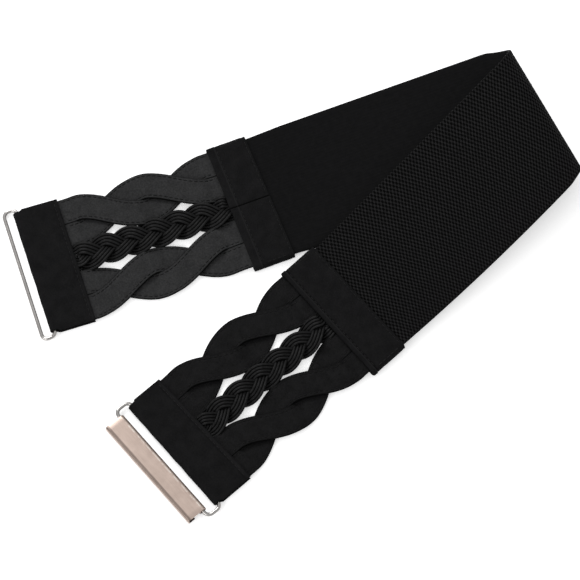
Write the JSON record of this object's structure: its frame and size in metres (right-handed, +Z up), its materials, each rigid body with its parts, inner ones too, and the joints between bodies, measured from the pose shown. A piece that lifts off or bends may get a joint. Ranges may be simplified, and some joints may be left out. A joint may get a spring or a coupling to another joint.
{
  "type": "cinch belt",
  "caption": "Wide elastic cinch belt lying folded over once, with twisted straps, a braid, wire rings and a rolled hook plate at its ends.",
  "frame": {"origin": "centre of the bounding box on the surface that the belt lies on", "axes": "+X along the longest side of the belt as it lies, +Y away from the viewer, +Z up"},
  "size_m": [0.3142, 0.2732, 0.021],
  "materials": {
    "elastic": "matte ribbed and woven elastic",
    "suede": "matte suede-like cloth",
    "strap": "satin, stitched near the edges",
    "cord": "satin round cord",
    "nickel": "polished nickel wire",
    "satin_metal": "satin, warm grey-pink plating"
  },
  "bodies": {
    "belt": {"elastic_band": "elastic", "strap_left_1": "strap", "strap_left_2": "strap", "strap_left_3": "strap", "strap_left_4": "strap", "braid_left_1": "cord", "braid_left_2": "cord", "braid_left_3": "cord", "sleeve_left": "suede", "tab_left": "suede", "strap_right_1": "strap", "strap_right_2": "strap", "strap_right_3": "strap", "strap_right_4": "strap", "braid_right_1": "cord", "braid_right_2": "cord", "braid_right_3": "cord", "sleeve_right": "suede", "tab_right": "suede"},
    "left_ring": {"ring_left": "nickel"},
    "right_ring": {"ring_right": "nickel"},
    "hook": {"hook_plate": "satin_metal"}
  },
  "joints": [
    {"name": "left_ring_hinge", "type": "hinge", "parent": "belt", "child": "left_ring", "pos_m": [-0.13808, 0.00607, 0.00248], "axis": [-0.304, 0.9527, 0], "range_deg": [-130, 150]},
    {"name": "right_ring_hinge", "type": "hinge", "parent": "belt", "child": "right_ring", "pos_m": [-0.06218, -0.09793, 0.00248], "axis": [-0.6468, 0.7627, 0], "range_deg": [-110, 110]},
    {"name": "hook_plate_hinge", "type": "hinge", "parent": "right_ring", "child": "hook", "pos_m": [-0.06923, -0.10392, 0.00243], "axis": [-0.6468, 0.7627, 0], "range_deg": [-90, 90]}
  ]
}
